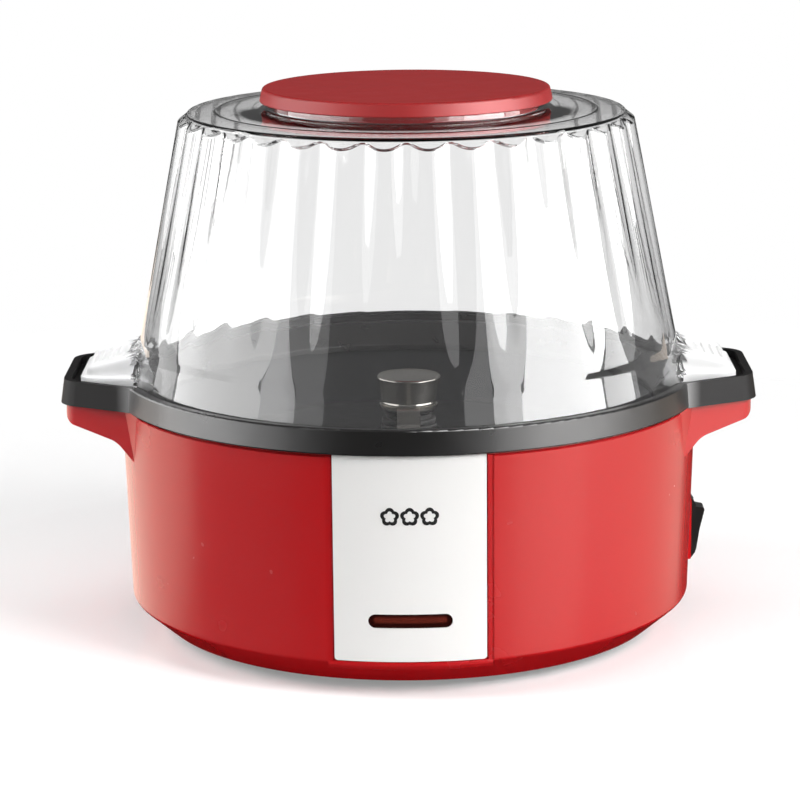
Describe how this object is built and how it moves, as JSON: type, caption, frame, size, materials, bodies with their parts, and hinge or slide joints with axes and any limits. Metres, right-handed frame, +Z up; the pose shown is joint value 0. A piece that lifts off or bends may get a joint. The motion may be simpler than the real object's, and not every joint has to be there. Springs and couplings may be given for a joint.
{
  "type": "popcorn maker",
  "caption": "Electric popcorn maker with a heated non-stick pan and motor stirrer in a round housing, under a clear pleated dome with a lift-off cap.",
  "frame": {"origin": "on the surface it stands on, under the centre of the round housing (the stirrer's axis)", "axes": "+Z up along the stirrer's axis; -Y is the front, with the white panel; the handles lie along +X and -X, the switch on the +X side"},
  "size_m": [0.3474, 0.2939, 0.273],
  "materials": {
    "red_plastic": "gloss",
    "red_cap": "satin",
    "black_satin": "satin",
    "white_panel": "gloss",
    "smoked_lens": "gloss",
    "lamp_glass": "gloss",
    "pale_plastic": "matte",
    "black_plastic": "satin",
    "brass": "satin",
    "nonstick": "satin, fine speckle",
    "black_rubber": "matte",
    "element_steel": "dull",
    "ceramic": "matte",
    "steel": "satin",
    "aluminised": "satin",
    "gear_plastic": "satin",
    "polished": "polished",
    "magnet": "matte",
    "clear_plastic": "clear"
  },
  "bodies": {
    "base": {"outer_shell": "red_plastic", "rim_ring": "black_satin", "front_panel": "white_panel", "indicator_lens": "smoked_lens", "indicator_lamp": "lamp_glass", "lamp_holder": "pale_plastic", "switch_housing": "black_plastic", "switch_terminals": "brass", "heating_pan": "nonstick", "shaft_bush": "brass", "shaft_seal": "black_rubber", "heating_element": "element_steel", "element_terminals": "ceramic", "element_clips": "steel", "heat_shield": "aluminised", "thermostat": "ceramic", "thermal_fuse": "steel", "pan_studs": "steel", "stud_nuts": "steel", "motor_bracket": "steel", "gear_case": "pale_plastic", "gear_cover": "pale_plastic", "gear_case_screws": "steel", "motor_can": "aluminised", "motor_screws": "steel", "base_cover": "black_plastic", "rubber_feet": "black_rubber", "base_screws": "steel", "rim_screws": "steel", "terminal_block": "pale_plastic", "cord_gland": "black_rubber"},
    "stirrer": {"output_gear": "gear_plastic", "stirrer_shaft": "steel", "stirrer_collar": "black_plastic", "stirring_arm": "polished", "stirrer_knob": "polished"},
    "motor_drive": {"motor_shaft": "steel", "motor_rotor": "magnet", "motor_pinion": "brass"},
    "rocker": {"switch_rocker": "black_plastic"},
    "dome": {"dome": "clear_plastic"},
    "cap": {"dome_cap": "red_cap"}
  },
  "joints": [
    {"name": "dome_lift", "type": "slide", "parent": "base", "child": "dome", "axis": [0, 0, 1], "range_m": [0, 0.12]},
    {"name": "cap_lift", "type": "slide", "parent": "dome", "child": "cap", "axis": [0, 0, 1], "range_m": [0, 0.05]},
    {"name": "stirrer_turn", "type": "hinge", "parent": "base", "child": "stirrer", "pos_m": [0, 0, 0.1], "axis": [0, 0, 1], "continuous": true},
    {"name": "motor_turn", "type": "hinge", "parent": "base", "child": "motor_drive", "pos_m": [0, 0.027, 0.05], "axis": [0, 0, 1], "continuous": true},
    {"name": "rocker_tilt", "type": "hinge", "parent": "base", "child": "rocker", "pos_m": [0.1406, 0, 0.0464], "axis": [0, -1, 0], "range_deg": [0, 22]}
  ],
  "couplings": [
    {"joint": "motor_turn", "follows": "stirrer_turn", "ratio": -2.8571}
  ]
}
